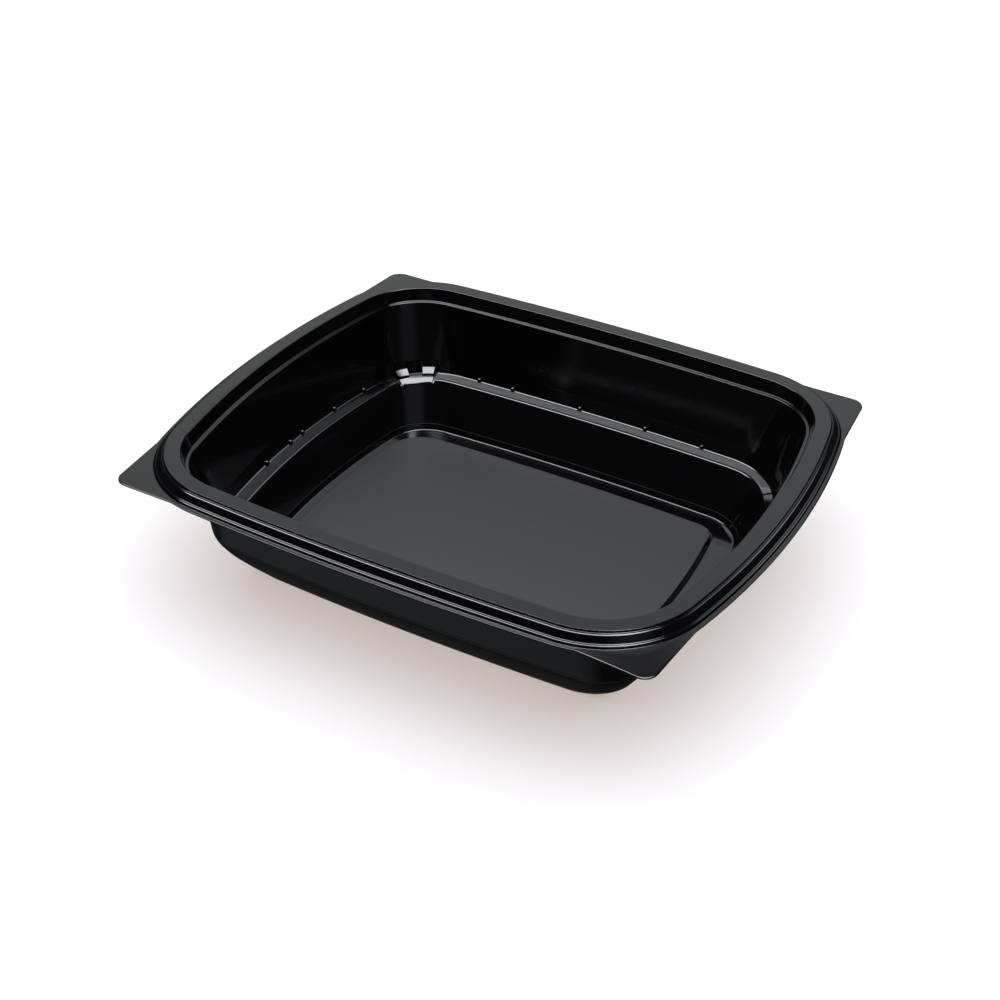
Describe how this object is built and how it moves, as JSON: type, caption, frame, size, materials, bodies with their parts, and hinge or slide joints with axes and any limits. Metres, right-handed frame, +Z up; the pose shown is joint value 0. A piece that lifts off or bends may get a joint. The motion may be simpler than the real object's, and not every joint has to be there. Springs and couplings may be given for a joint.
{
  "type": "plastic meal tray base",
  "caption": "Shallow rectangular thermoformed food tray with bowed rim, corner lift tabs, seal step, stacking ledge and raised floor panel; its lid is not part of it.",
  "frame": {"origin": "on the supporting surface, under the middle of the tray", "axes": "+Z up, +X along the tray's length, +Y across its width"},
  "size_m": [0.2176, 0.1802, 0.05],
  "materials": {
    "black_plastic": "glossy black sheet plastic, satin on the floor"
  },
  "bodies": {
    "root": {"tray": "black_plastic"}
  },
  "joints": []
}
